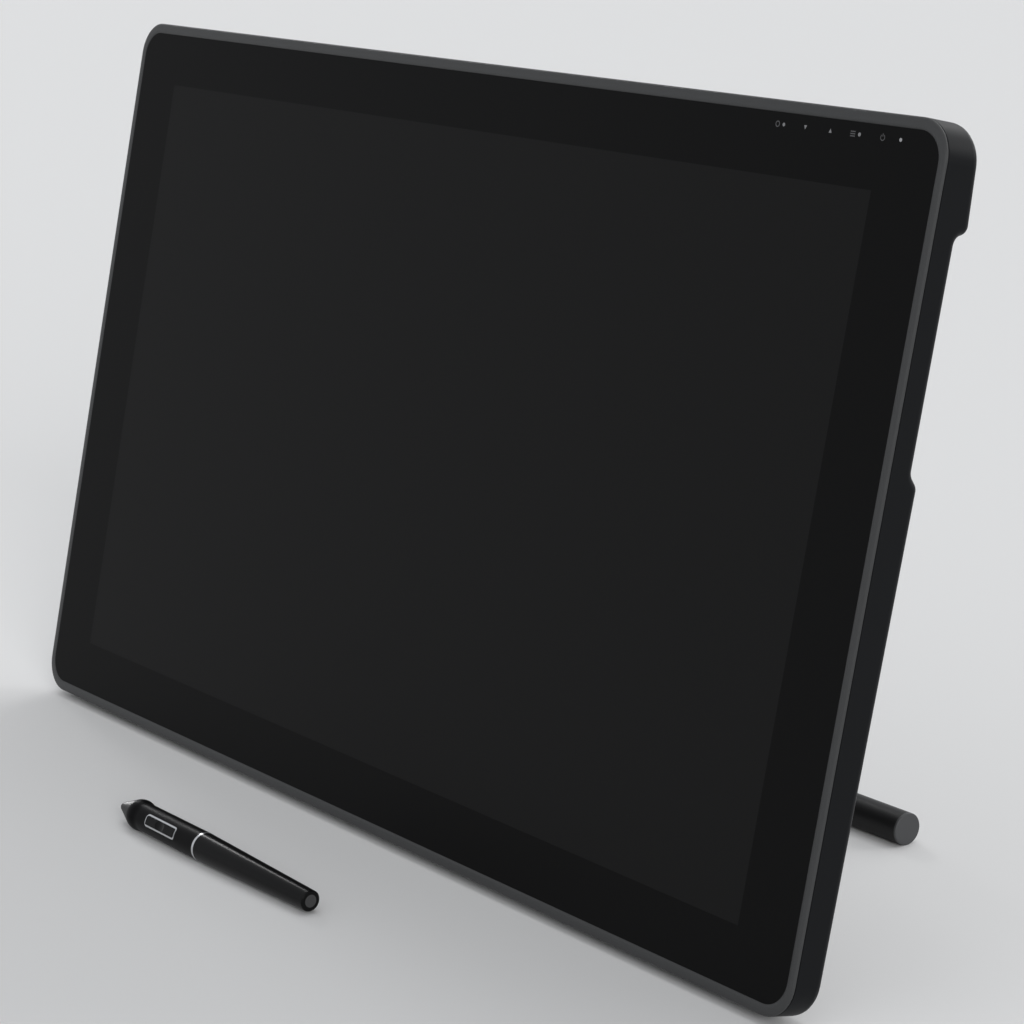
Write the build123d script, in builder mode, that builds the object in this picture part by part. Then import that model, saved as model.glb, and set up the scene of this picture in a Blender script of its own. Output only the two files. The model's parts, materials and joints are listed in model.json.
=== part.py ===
from build123d import *
import os
from math import asin, atan2, cos, degrees, pi, radians, sin, sqrt

os.makedirs("parts", exist_ok=True)

# Millimetres. +Z is up, the screen faces -Y, the desk is Z = 0.
# Screen unit, seen from the front
active_width = 526.85
active_height = 296.35
side_border = 33.6
top_border = 25.6
side_rim = 4.0
top_rim = 4.95
case_corner = 16.0
tilt = 78.1

# Screen unit, depths behind the front face of the glass
glass_thickness = 1.6
tape_thickness = 0.2
ledge_thickness = 1.2
rim_thickness = 0.9
rim_round = 0.8
groove_width = 0.4
band_depth = 14.1
ridge_depth = 20.4
ridge_top_depth = 17.9
lower_depth = 18.5
lower_end_depth = 16.5

# Rear cover, heights and walls
ridge_height = 41.1
ridge_slope = 2.6
lower_height = 217.3
lower_slope = 4.4
step_round = 4.2
back_round = 4.0
cover_wall = 2.4
cover_back_wall = 2.2

# Clearances shared by all pieces
fit = 0.1
part_gap = 0.2
overrun = 5.0

half_width = active_width / 2 + side_border + side_rim
half_height = active_height / 2 + top_border + top_rim
glass_half_width = half_width - side_rim - fit
glass_half_height = half_height - top_rim - fit
glass_corner = case_corner - side_rim

# Front frame
tongue_wall = 1.4
rib_wall = 2.0
window_margin = 11.0
rib_inset = 10.0
boss_radius = 3.0
plate_inset = 1.4
screw_radius = 1.45
screw_hole = 1.5
tongue_half_width = half_width - cover_wall - part_gap
tongue_half_height = half_height - cover_wall - part_gap
tongue_corner = case_corner - cover_wall
window_half_width = glass_half_width - window_margin
window_half_height = glass_half_height - window_margin
rib_half_width = half_width - rib_inset
rib_half_height = half_height - rib_inset

# Panel module, from the front backwards
module_gap = 0.3
bezel_sheet = 0.4
bezel_skirt = 4.0
bezel_opening_margin = 0.6
cell_margin = 2.6
cell_thickness = 1.2
guide_margin = 2.0
films_thickness = 0.4
guide_thickness = 1.9
reflector_thickness = 0.2
tray_sheet = 0.5
tray_margin = 6.4
led_strip_thickness = 0.8
led_depth = 3.0
led_width = 4.0
led_height = 1.6
led_count = 36
sensor_margin = 4.6
sensor_thickness = 0.8
plate_thickness = 0.8

bezel_front = glass_thickness + module_gap
cell_front = bezel_front + bezel_sheet
films_front = cell_front + cell_thickness
guide_front = films_front + films_thickness
reflector_front = guide_front + guide_thickness
tray_front = reflector_front + reflector_thickness
sensor_front = tray_front + tray_sheet
plate_front = sensor_front + sensor_thickness
plate_back = plate_front + plate_thickness
tape_back = glass_thickness + tape_thickness
ledge_back = tape_back + ledge_thickness
cover_front = rim_thickness + groove_width
cell_half_width = active_width / 2 + cell_margin
cell_half_height = active_height / 2 + cell_margin
guide_half_width = active_width / 2 + guide_margin
guide_half_height = active_height / 2 + guide_margin
tray_half_width = active_width / 2 + tray_margin
tray_half_height = active_height / 2 + tray_margin
bezel_half_width = tray_half_width + part_gap + bezel_sheet
bezel_half_height = tray_half_height + part_gap + bezel_sheet
tray_wall_front = films_front
sensor_half_width = active_width / 2 + sensor_margin
sensor_half_height = active_height / 2 + sensor_margin

# Case screws, in pairs left and right of the middle
row_screw_shares = (0.3654, 0.9036)
side_screw_y = 110.0
screw_line_inset = 7.5
screw_seat_depth = 10.0
screw_head_radius = 2.75
screw_head_height = 2.0
screw_length = 6.2
counterbore_radius = 3.2
cover_post_radius = 3.7
cover_screw_hole = 1.75
screw_row_y = half_height - screw_line_inset
screw_side_x = half_width - screw_line_inset
row_screw_x = [share * half_width for share in row_screw_shares]
screw_places = [(sx * x, sy * screw_row_y) for x in row_screw_x for sx in (-1, 1) for sy in (-1, 1)]
screw_places += [(sx * screw_side_x, sy * side_screw_y) for sx in (-1, 1) for sy in (-1, 1)]

# Boards and cables behind the shield plate
board_gap = 0.8
board_thickness = 1.2
board_width = 202.0
board_height = 75.0
board_inset = 39.0
board_top = -4.0
standoff_radius = 2.4
standoff_inset = 8.0
flex_thickness = 0.2
flex_bend = 1.2
flex_lap = 2.0
panel_flex_width = 50.0
panel_flex_gap = 1.0
key_flex_width = 20.0
key_flex_inset = 16.0
flex_slot_margin = 1.5
flex_turn_gap = 3.4
board_right = half_width - board_inset
board_left = board_right - board_width
key_flex_x = board_right - key_flex_inset - key_flex_width / 2
board_front = plate_back + board_gap
board_back = board_front + board_thickness
board_bottom = board_top - board_height
flex_depth = plate_back + board_gap / 2
panel_flex_turn = bezel_half_height + flex_turn_gap

# Touch key strip behind the top right border
key_board_width = 86.0
key_board_height = 8.6
key_board_thickness = 0.8
key_board_inset = 17.0
key_pocket_margin = 1.0
key_pocket_depth = 1.6
key_row_inset = 4.8
pipe_radius = 1.0
pipe_flange_radius = 1.8
pipe_flange_thickness = 0.6
pipe_length = 1.7
status_light_inset = 26.3
key_row_y = glass_half_height - key_row_inset
key_board_x = half_width - key_board_inset - key_board_width / 2
status_light_x = half_width - status_light_inset

# Port bay in the lower part of the back, sockets in its upper wall
bay_inset = 16.0
bay_gap = 11.0
bay_width = 128.0
bay_height = 38.0
bay_wall = 2.0
bay_floor_wall = 1.2
socket_gap = 0.2
socket_setback = 0.2
socket_height = 5.2
socket_front_depth = 9.6
socket_shell = 0.4
power_socket_inset = 18.0
power_socket_width = 7.6
power_hole_radius = 1.8
power_pin_radius = 0.65
power_hole_length = 8.0
video_socket_inset = 46.0
video_socket_width = 14.6
tongue_height = 1.4
tongue_length = 8.0
usb_socket_insets = (78.0, 102.0)
usb_socket_width = 9.0
usb_socket_height = 3.3
usb_tongue_height = 0.7
bay_left = board_right - bay_inset - bay_width
panel_flex_x = bay_left - bay_wall - panel_flex_gap - panel_flex_width / 2
power_socket_x = bay_left + power_socket_inset
video_socket_x = bay_left + video_socket_inset
usb_socket_x = [bay_left + inset for inset in usb_socket_insets]
bay_top = board_bottom - bay_gap
bay_bottom = bay_top - bay_height
bay_floor_depth = plate_back + fit + bay_floor_wall
socket_front_y = bay_top + socket_setback
socket_length = board_bottom - socket_front_y
socket_mid_depth = socket_front_depth + socket_height / 2

# Vent slots above the boards
vent_count = 10
vent_pitch = 14.0
vent_width = 3.0
vent_height = 22.0
vent_middle_share = 0.548
vent_middle_y = 14.0
vent_middle_x = half_width * vent_middle_share

# Stand plate on the back, with its screws in a square pattern
pattern_size = 100.0
pattern_down_length = 30.0
plate_sheet = 2.0
stand_plate_width = 130.0
stand_plate_height = 124.0
stand_plate_corner = 6.0
plate_recess_depth = 15.8
recess_wall = 2.2
stand_hole_radius = 2.25
insert_radius = 2.8
insert_bore = 2.0
insert_length = 5.0
insert_setback = 0.2
insert_boss_radius = 5.2
stand_screw_radius = 1.95
stand_screw_length = 6.5
stand_head_radius = 3.6
stand_head_height = 2.3
socket_drive_radius = 1.25
socket_drive_depth = 1.4
stand_plate_back = plate_recess_depth + plate_sheet
pattern_half = pattern_size / 2
pattern_corners = [(sx * pattern_half, sy * pattern_half) for sx in (-1, 1) for sy in (-1, 1)]
pattern_places = [(x, y - pattern_down_length) for x, y in pattern_corners]

# Stand hinge
hinge_down_length = 60.0
hinge_depth = 28.0
ear_thickness = 3.0
ear_inner_x = 34.0
ear_radius = 8.0
ear_base = 26.0
pin_radius = 4.0
running_clearance = 0.05
bush_wall = 1.0
bush_flange_radius = 7.0
bush_flange_thickness = 1.0
arm_thickness = 6.0
arm_hub_radius = 8.5
pin_head_radius = 6.5
pin_head_thickness = 3.0
nut_width = 12.0
nut_thickness = 4.0
pin_thread_reach = 1.0
arm_inner_x = ear_inner_x + ear_thickness + bush_flange_thickness + fit
arm_outer_x = arm_inner_x + arm_thickness

# Wrap springs that grip the hinge pin
wrap_wire = 1.2
wrap_pitch = 1.9
wrap_turns = 4
wrap_clearance = 0.3
wrap_start_x = 20.0

# Release lever, its pin and return spring
lever_pin_down_length = 22.0
lever_pin_depth = 24.5
lever_pin_radius = 2.5
lever_half_width = 25.0
lever_sheet = 2.0
lever_web_lift = 5.0
lever_tail = 30.0
lever_reach = 46.0
lever_curl = 6.0
lever_hub_radius = 4.5
lever_window_width = 26.0
lever_window_height = 18.0
lever_ear_gap = 1.0
lever_ear_thickness = 2.5
lever_ear_radius = 5.0
lever_ear_base = 14.0
lever_spring_wire = 0.9
lever_spring_pitch = 1.6
lever_spring_turns = 3
lever_spring_clearance = 0.3

# Stand legs and foot bar
leg_length = 180.5
arm_end_radius = 7.0
arm_end_setback = 4.0
spacer_radius = 3.0
spacer_share = 0.6
foot_bar_length = 324.0
foot_bar_radius = 7.8
foot_sleeve_wall = 0.6
foot_tube_wall = 1.4
foot_cap_thickness = 1.2
foot_cap_plug = 10.0
foot_cap_round = 0.6
sleeve_gap = 3.0
foot_tube_radius = foot_bar_radius - foot_sleeve_wall

# Rubber feet on the lower back edge
foot_gap = 0.9
foot_length = 110.0
foot_height = 5.0
foot_forward = 6.5
foot_behind = 1.2
foot_round = 1.0
foot_share = 0.6644
foot_seat_wall = 1.5
foot_x = half_width * foot_share

# Pen, along its own axis from the point of the nib
pen_length = 159.9
nose_start = 2.2
nose_widest = 18.2
nose_radius = 7.5
nose_round = 9.0
nose_mouth_radius = 2.05
grip_start = 23.5
grip_radius = 6.75
ring_start = 72.7
ring_width = 1.4
ring_radius = 6.95
ring_proud = 0.05
barrel_end = 152.9
end_radius = 5.05
cap_end_radius = 4.85
cap_round = 0.5
grip_bore = 4.6
nib_radius = 0.85
nib_tip_radius = 0.45
nib_cone = 1.4
nib_bore = 1.0
nib_length = 24.0
shoulder = 10.0
ferrite_radius = 2.2
ferrite_length = 9.8
coil_radius = 3.2
coil_margin = 0.8
sensor_radius = 4.4
sensor_start = 20.6
sensor_length = 9.6
nib_socket = 4.2
spigot_radius = 5.2
spigot_length = 6.0
spigot_bore = 4.0
barrel_bore = 3.6
cap_plug = 5.0
pen_board_start = 31.0
pen_board_length = 36.0
pen_board_thickness = 0.8
pen_board_height = 1.0
switch_size = 3.0
switch_height = 2.3
switch_spacing = 18.0

# Side rocker of the pen
slot_start = 31.6
slot_length = 25.7
slot_width = 6.1
slot_corner = 1.5
bezel_line = 0.8
bezel_proud = 0.15
bezel_seat = 5.0
rocker_gap = 0.15
rocker_proud = 0.5
rocker_underside = 3.9
rocker_axis_height = 4.4
trunnion_radius = 0.45
trunnion_reach = 0.7
rocker_dip_radius = 14.0
rocker_dip_depth = 0.45
button_roll = 63.5

# Place of the pen on the desk, where its nose and its ring touch the ground
pen_to_screen = 113.2
pen_nose_x = -68.2
pen_yaw = 0.8

# Levels that follow from the sizes above
sin_tilt = sin(radians(tilt))
cos_tilt = cos(radians(tilt))
screen_z = half_height * sin_tilt + lower_end_depth * cos_tilt + foot_gap
hinge_z = screen_z - hinge_down_length * sin_tilt - hinge_depth * cos_tilt
leg_slope = asin((hinge_z - foot_bar_radius) / leg_length)
hinge_from_screen = hinge_depth * sin_tilt - hinge_down_length * cos_tilt
stand_reach = hinge_from_screen + leg_length * cos(leg_slope) + foot_bar_radius
screen_y = (pen_to_screen + nose_radius - stand_reach) / 2
pen_dip = asin((nose_radius - ring_radius) / (ring_start + ring_width - nose_widest))

# The screen's plane: x to the right, y up the screen, z out of its front
screen = Plane(origin=(0, screen_y, screen_z), x_dir=(1, 0, 0), z_dir=(0, -sin_tilt, cos_tilt))
# The same frame seen from the right: x up the screen, y out of its front
profile = Plane(origin=screen.origin, x_dir=screen.y_dir, z_dir=(1, 0, 0))
hinge_point = screen.from_local_coords((0, -hinge_down_length, -hinge_depth))
# The leg seen from the right: x from the hinge to the foot bar
leg = Plane(origin=hinge_point, x_dir=(0, cos(leg_slope), -sin(leg_slope)), z_dir=(1, 0, 0))
# The pen: x from its nib to its end, z towards its side rocker
yaw = radians(pen_yaw)
roll = radians(button_roll)
pen_direction = Vector(cos(yaw) * cos(pen_dip), sin(yaw) * cos(pen_dip), -sin(pen_dip))
pen_up = Vector(cos(yaw) * sin(pen_dip), sin(yaw) * sin(pen_dip), cos(pen_dip))
pen_side = pen_up.cross(pen_direction)
pen_nose = Vector(pen_nose_x, screen_y - pen_to_screen, nose_radius)
pen_tip = pen_nose - pen_direction * nose_widest
pen = Plane(origin=pen_tip, x_dir=pen_direction, z_dir=pen_up * cos(roll) - pen_side * sin(roll))
pen_axis = Axis(pen.origin, pen.x_dir)


def cover_profile(wall, back_wall):
    """Side view of the rear cover as points (height up the screen, height out of its front)."""
    top = half_height - wall
    ridge_edge = half_height - ridge_height
    lower_edge = lower_height - half_height
    return [
        (top, -cover_front),
        (top, back_wall - ridge_top_depth),
        (ridge_edge, back_wall - ridge_depth),
        (ridge_edge - ridge_slope, back_wall - band_depth),
        (lower_edge + lower_slope, back_wall - band_depth),
        (lower_edge, back_wall - lower_depth),
        (-top, back_wall - lower_end_depth),
        (-top, -cover_front),
    ]


def coil_path(frame, radius, pitch, turns):
    """A coil round the frame's z axis, as pairs of tangent arcs over each quarter turn."""
    steps = 4 * turns
    rise = pitch / 4

    def point(i):
        a = i * pi / 2
        return Vector(radius * cos(a), radius * sin(a), i * rise)

    def heading(i):
        a = i * pi / 2
        return Vector(-radius * sin(a), radius * cos(a), 2 * rise / pi).normalized()

    arcs = []
    for i in range(steps):
        p, q, t, u = point(i), point(i + 1), heading(i), heading(i + 1)
        chord, both, spread = q - p, t + u, 2 * (1 - t.dot(u))
        across = chord.dot(both)
        reach = (sqrt(across**2 + spread * chord.dot(chord)) - across) / spread
        middle = (p + q + (t - u) * reach) / 2
        arcs.append(Edge.make_tangent_arc(p, t, middle))
        arcs.append(Edge.make_tangent_arc(middle, arcs[-1] % 1, q))
    return frame.location * Wire(arcs)


def least_coil_gap(radius, pitch, turns, wire):
    """Least gap between a coil's neighbouring turns, measured on points along it."""
    points_per_turn = 24
    count = points_per_turn * turns
    angles = [2 * pi * i / points_per_turn for i in range(count)]
    path = [Vector(radius * cos(a), radius * sin(a), pitch * a / (2 * pi)) for a in angles]
    half_turn = points_per_turn // 2
    near = min((path[i] - path[j]).length for i in range(count) for j in range(i + half_turn, count))
    return near - wire


# Front glass
with BuildPart() as front_glass:
    with BuildSketch(screen):
        RectangleRounded(2 * glass_half_width, 2 * glass_half_height, glass_corner)
    extrude(amount=-glass_thickness)
front_glass.part.label = "front_glass"
export_step(front_glass.part, "parts/front_glass.step")

# Glass tape: a thin ring between the glass and the frame's ledge, with a hole for the light pipe
with BuildPart() as glass_tape:
    with BuildSketch(screen.offset(-glass_thickness)):
        Rectangle(2 * (glass_half_width - part_gap), 2 * (glass_half_height - part_gap))
        fillet(vertices(), glass_corner - part_gap)
        Rectangle(2 * window_half_width, 2 * window_half_height, mode=Mode.SUBTRACT)
        with Locations((status_light_x, key_row_y)):
            Circle(pipe_radius + running_clearance, mode=Mode.SUBTRACT)
    extrude(amount=-tape_thickness)
glass_tape.part.label = "glass_tape"
export_step(glass_tape.part, "parts/glass_tape.step")

# Front frame: rim, ledge under the glass, tongue inside the cover, rib under the shield plate
with BuildPart() as front_frame:
    with BuildSketch(screen):
        RectangleRounded(2 * half_width, 2 * half_height, case_corner)
    extrude(amount=-rim_thickness)
    rim_edges = front_frame.faces().sort_by(Axis(screen.origin, screen.z_dir))[-1].edges()
    fillet(rim_edges, rim_round)
    with BuildSketch(screen.offset(-rim_thickness)):
        RectangleRounded(2 * tongue_half_width, 2 * tongue_half_height, tongue_corner)
    extrude(amount=rim_thickness - ledge_back)
    with BuildSketch(screen.offset(-ledge_back)):
        RectangleRounded(2 * tongue_half_width, 2 * tongue_half_height, tongue_corner)
        RectangleRounded(
            2 * (tongue_half_width - tongue_wall),
            2 * (tongue_half_height - tongue_wall),
            tongue_corner - tongue_wall,
            mode=Mode.SUBTRACT,
        )
        Rectangle(2 * rib_half_width, 2 * rib_half_height)
        Rectangle(2 * (rib_half_width - rib_wall), 2 * (rib_half_height - rib_wall), mode=Mode.SUBTRACT)
        with Locations(*screw_places):
            Circle(boss_radius)
    extrude(amount=ledge_back - plate_front)
    with BuildSketch(screen):
        RectangleRounded(2 * (glass_half_width + fit), 2 * (glass_half_height + fit), glass_corner + fit)
    extrude(amount=-tape_back, mode=Mode.SUBTRACT)
    with BuildSketch(screen.offset(-tape_back)):
        Rectangle(2 * window_half_width, 2 * window_half_height)
    extrude(amount=-ledge_thickness, mode=Mode.SUBTRACT)
    with BuildSketch(screen.offset(-tape_back)):
        with Locations((key_board_x, key_row_y)):
            Rectangle(key_board_width + 2 * key_pocket_margin, key_board_height + 2 * key_pocket_margin)
        with Locations((key_flex_x, window_half_height)):
            Rectangle(key_flex_width + 2 * flex_slot_margin, key_board_height)
    extrude(amount=-key_pocket_depth, mode=Mode.SUBTRACT)
    with BuildSketch(screen.offset(-plate_front)):
        with Locations(*screw_places):
            Circle(screw_hole)
    extrude(amount=plate_front - ledge_back, mode=Mode.SUBTRACT)
front_frame.part.label = "front_frame"
export_step(front_frame.part, "parts/front_frame.step")

# Panel bezel: sheet frame round the panel, with a gap in its skirt for the panel flex
with BuildPart() as panel_bezel:
    with BuildSketch(screen.offset(-bezel_front)):
        Rectangle(2 * bezel_half_width, 2 * bezel_half_height)
    extrude(amount=-bezel_skirt)
    with BuildSketch(screen.offset(-cell_front)):
        Rectangle(2 * (bezel_half_width - bezel_sheet), 2 * (bezel_half_height - bezel_sheet))
    extrude(amount=-bezel_skirt, mode=Mode.SUBTRACT)
    with BuildSketch(screen.offset(-bezel_front)):
        Rectangle(active_width + 2 * bezel_opening_margin, active_height + 2 * bezel_opening_margin)
    extrude(amount=-bezel_skirt, mode=Mode.SUBTRACT)
    with BuildSketch(screen.offset(-cell_front)):
        with Locations((panel_flex_x, -bezel_half_height)):
            Rectangle(panel_flex_width + 2 * flex_slot_margin, 2 * flex_slot_margin)
    extrude(amount=-bezel_skirt, mode=Mode.SUBTRACT)
panel_bezel.part.label = "panel_bezel"
export_step(panel_bezel.part, "parts/panel_bezel.step")

# Liquid crystal cell: the picture area
with BuildPart() as lcd_cell:
    with BuildSketch(screen.offset(-cell_front)):
        Rectangle(2 * cell_half_width, 2 * cell_half_height)
    extrude(amount=-cell_thickness)
lcd_cell.part.label = "lcd_cell"
export_step(lcd_cell.part, "parts/lcd_cell.step")

# Diffuser films
with BuildPart() as diffuser_films:
    with BuildSketch(screen.offset(-films_front)):
        Rectangle(2 * guide_half_width, 2 * guide_half_height)
    extrude(amount=-films_thickness)
diffuser_films.part.label = "diffuser_films"
export_step(diffuser_films.part, "parts/diffuser_films.step")

# Light guide
with BuildPart() as light_guide:
    with BuildSketch(screen.offset(-guide_front)):
        Rectangle(2 * guide_half_width, 2 * guide_half_height)
    extrude(amount=-guide_thickness)
light_guide.part.label = "light_guide"
export_step(light_guide.part, "parts/light_guide.step")

# Reflector sheet
with BuildPart() as reflector_sheet:
    with BuildSketch(screen.offset(-reflector_front)):
        Rectangle(2 * guide_half_width, 2 * guide_half_height)
    extrude(amount=-reflector_thickness)
reflector_sheet.part.label = "reflector_sheet"
export_step(reflector_sheet.part, "parts/reflector_sheet.step")

# Panel tray: folded sheet pan behind the light guide
with BuildPart() as panel_tray:
    with BuildSketch(screen.offset(-tray_wall_front)):
        Rectangle(2 * tray_half_width, 2 * tray_half_height)
    extrude(amount=tray_wall_front - sensor_front)
    with BuildSketch(screen.offset(-tray_wall_front)):
        Rectangle(2 * (tray_half_width - tray_sheet), 2 * (tray_half_height - tray_sheet))
    extrude(amount=tray_wall_front - tray_front, mode=Mode.SUBTRACT)
panel_tray.part.label = "panel_tray"
export_step(panel_tray.part, "parts/panel_tray.step")

# LED strip: a narrow board on the tray's lower wall, its lamps facing the light guide
led_strip_bottom = -tray_half_height + tray_sheet + fit
led_pitch = 2 * guide_half_width / led_count
led_mid_depth = guide_front + guide_thickness / 2
with BuildPart() as led_strip:
    with BuildSketch(screen.offset(-guide_front)):
        with Locations((0, led_strip_bottom + led_strip_thickness / 2)):
            Rectangle(2 * guide_half_width, led_strip_thickness)
    extrude(amount=-guide_thickness)
    with BuildSketch(screen.offset(led_height / 2 - led_mid_depth)):
        with Locations((0, led_strip_bottom + led_strip_thickness)):
            with GridLocations(led_pitch, 0, led_count, 1):
                Rectangle(led_width, led_depth, align=(Align.CENTER, Align.MIN))
    extrude(amount=-led_height)
led_strip.part.label = "led_strip"
export_step(led_strip.part, "parts/led_strip.step")

# Pen sensor board: the grid of loops that reads the pen
with BuildPart() as pen_sensor_board:
    with BuildSketch(screen.offset(-sensor_front)):
        Rectangle(2 * sensor_half_width, 2 * sensor_half_height)
    extrude(amount=-sensor_thickness)
pen_sensor_board.part.label = "pen_sensor_board"
export_step(pen_sensor_board.part, "parts/pen_sensor_board.step")

# Shield plate: carries the boards on standoffs, slotted for the flat cables
board_mid_x = board_left + board_width / 2
board_mid_y = board_top - board_height / 2
with BuildPart() as shield_plate:
    with BuildSketch(screen.offset(-plate_front)):
        Rectangle(2 * (rib_half_width - plate_inset), 2 * (rib_half_height - plate_inset))
        with Locations((panel_flex_x, -panel_flex_turn)):
            Rectangle(panel_flex_width + 2 * flex_slot_margin, 2 * flex_slot_margin, mode=Mode.SUBTRACT)
        with Locations((key_flex_x, panel_flex_turn)):
            Rectangle(key_flex_width + 2 * flex_slot_margin, 2 * flex_slot_margin, mode=Mode.SUBTRACT)
    extrude(amount=-plate_thickness)
    with BuildSketch(screen.offset(-plate_back)):
        with Locations((board_mid_x, board_mid_y)):
            with GridLocations(board_width - 2 * standoff_inset, board_height - 2 * standoff_inset, 2, 2):
                Circle(standoff_radius)
    extrude(amount=-board_gap)
shield_plate.part.label = "shield_plate"
export_step(shield_plate.part, "parts/shield_plate.step")

# Main board with its chips and connectors, as shares of the board: middle x, y, width, height
chip_height = 2.0
chip_shares = (
    (0.20, 0.55, 0.16, 0.42),
    (0.42, 0.60, 0.08, 0.22),
    (0.55, 0.60, 0.08, 0.22),
    (0.74, 0.62, 0.13, 0.34),
    (0.90, 0.30, 0.06, 0.20),
    (0.10, 0.12, 0.14, 0.10),
)
with BuildPart() as main_board:
    with BuildSketch(screen.offset(-board_front)):
        with Locations((board_mid_x, board_mid_y)):
            Rectangle(board_width, board_height)
    extrude(amount=-board_thickness)
    for middle_x, middle_y, wide, high in chip_shares:
        with BuildSketch(screen.offset(-board_back)):
            with Locations((board_left + middle_x * board_width, board_bottom + middle_y * board_height)):
                Rectangle(wide * board_width, high * board_height)
        extrude(amount=-chip_height)
main_board.part.label = "main_board"
export_step(main_board.part, "parts/main_board.step")

# Power socket: round hole with a centre pin, open downwards
mouth = Plane(origin=screen.origin, x_dir=(1, 0, 0), z_dir=-screen.y_dir)
mouth_face = mouth.offset(-socket_front_y)
with BuildPart() as power_socket:
    with BuildSketch(mouth_face):
        with Locations((power_socket_x, -socket_mid_depth)):
            Rectangle(power_socket_width, socket_height)
    extrude(amount=-socket_length)
    with BuildSketch(mouth_face):
        with Locations((power_socket_x, -socket_mid_depth)):
            Circle(power_hole_radius)
            Circle(power_pin_radius, mode=Mode.SUBTRACT)
    extrude(amount=-power_hole_length, mode=Mode.SUBTRACT)
power_socket.part.label = "power_socket"
export_step(power_socket.part, "parts/power_socket.step")

# Video socket: sheet shell with chamfered lower corners and a tongue
with BuildPart() as video_socket:
    with BuildSketch(mouth_face):
        with Locations((video_socket_x, -socket_mid_depth)):
            Rectangle(video_socket_width, socket_height)
    extrude(amount=-socket_length)
    with BuildSketch(mouth_face):
        with Locations((video_socket_x, -socket_mid_depth)):
            Rectangle(video_socket_width - 2 * socket_shell, socket_height - 2 * socket_shell)
    extrude(amount=-tongue_length, mode=Mode.SUBTRACT)
    with BuildSketch(mouth_face):
        with Locations((video_socket_x, -socket_mid_depth)):
            Rectangle(video_socket_width - 4 * tongue_height, tongue_height)
    extrude(amount=-tongue_length)
video_socket.part.label = "video_socket"
export_step(video_socket.part, "parts/video_socket.step")

# Two small reversible sockets
with BuildPart() as usb_sockets:
    for x in usb_socket_x:
        with BuildSketch(mouth_face):
            with Locations((x, -socket_mid_depth)):
                SlotOverall(usb_socket_width, usb_socket_height)
        extrude(amount=-socket_length)
        with BuildSketch(mouth_face):
            with Locations((x, -socket_mid_depth)):
                SlotOverall(usb_socket_width - 2 * socket_shell, usb_socket_height - 2 * socket_shell)
        extrude(amount=-tongue_length, mode=Mode.SUBTRACT)
        with BuildSketch(mouth_face):
            with Locations((x, -socket_mid_depth)):
                Rectangle(usb_socket_width - usb_socket_height, usb_tongue_height)
        extrude(amount=-tongue_length)
usb_sockets.part.label = "usb_sockets"
export_step(usb_sockets.part, "parts/usb_sockets.step")

# Flat cables: from the panel's lower edge and from the touch key strip to the main board
panel_flex_depth = cell_front + cell_thickness / 2
key_flex_depth = tape_back + key_board_thickness / 2
key_board_bottom = key_row_y - key_board_height / 2
with BuildPart() as flex_cables:
    with BuildSketch(profile.offset(panel_flex_x - panel_flex_width / 2)):
        with BuildLine():
            FilletPolyline(
                (-cell_half_height, -panel_flex_depth),
                (-panel_flex_turn, -panel_flex_depth),
                (-panel_flex_turn, -flex_depth),
                (board_bottom + flex_lap, -flex_depth),
                radius=flex_bend,
            )
        trace(line_width=flex_thickness)
    extrude(amount=panel_flex_width)
    with BuildSketch(profile.offset(key_flex_x - key_flex_width / 2)):
        with BuildLine():
            FilletPolyline(
                (key_board_bottom, -key_flex_depth),
                (panel_flex_turn, -key_flex_depth),
                (panel_flex_turn, -flex_depth),
                (board_top - flex_lap, -flex_depth),
                radius=flex_bend,
            )
        trace(line_width=flex_thickness)
    extrude(amount=key_flex_width)
flex_cables.part.label = "flex_cables"
export_step(flex_cables.part, "parts/flex_cables.step")

# Touch key strip: six touch pads behind the glass border
with BuildPart() as touch_key_board:
    with BuildSketch(screen.offset(-tape_back)):
        with Locations((key_board_x, key_row_y)):
            Rectangle(key_board_width, key_board_height)
        with Locations((status_light_x, key_row_y)):
            Circle(pipe_radius + running_clearance, mode=Mode.SUBTRACT)
    extrude(amount=-key_board_thickness)
touch_key_board.part.label = "touch_key_board"
export_step(touch_key_board.part, "parts/touch_key_board.step")

# Light pipe of the status light
pipe_flange_front = tape_back + key_board_thickness
with BuildPart() as status_light_pipe:
    with BuildSketch(screen.offset(-glass_thickness)):
        with Locations((status_light_x, key_row_y)):
            Circle(pipe_radius)
    extrude(amount=-pipe_length)
    with BuildSketch(screen.offset(-pipe_flange_front)):
        with Locations((status_light_x, key_row_y)):
            Circle(pipe_flange_radius)
    extrude(amount=-pipe_flange_thickness)
status_light_pipe.part.label = "status_light_pipe"
export_step(status_light_pipe.part, "parts/status_light_pipe.step")

# Rubber feet: blocks let into the lower back edge, soles level with the desk
edge_point = screen.from_local_coords((0, -half_height, -lower_end_depth))
sole = Plane(origin=(0, edge_point.Y, 0), x_dir=(1, 0, 0), z_dir=(0, 0, 1))
foot_depth = foot_forward + foot_behind
foot_mid_y = (foot_behind - foot_forward) / 2
with BuildPart() as rubber_feet:
    with BuildSketch(sole):
        with Locations((-foot_x, foot_mid_y), (foot_x, foot_mid_y)):
            Rectangle(foot_length, foot_depth)
    extrude(amount=foot_height)
    fillet(rubber_feet.edges().filter_by(Axis.X).group_by(Axis.Z)[0], foot_round)
rubber_feet.part.label = "rubber_feet"
export_step(rubber_feet.part, "parts/rubber_feet.step")

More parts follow.
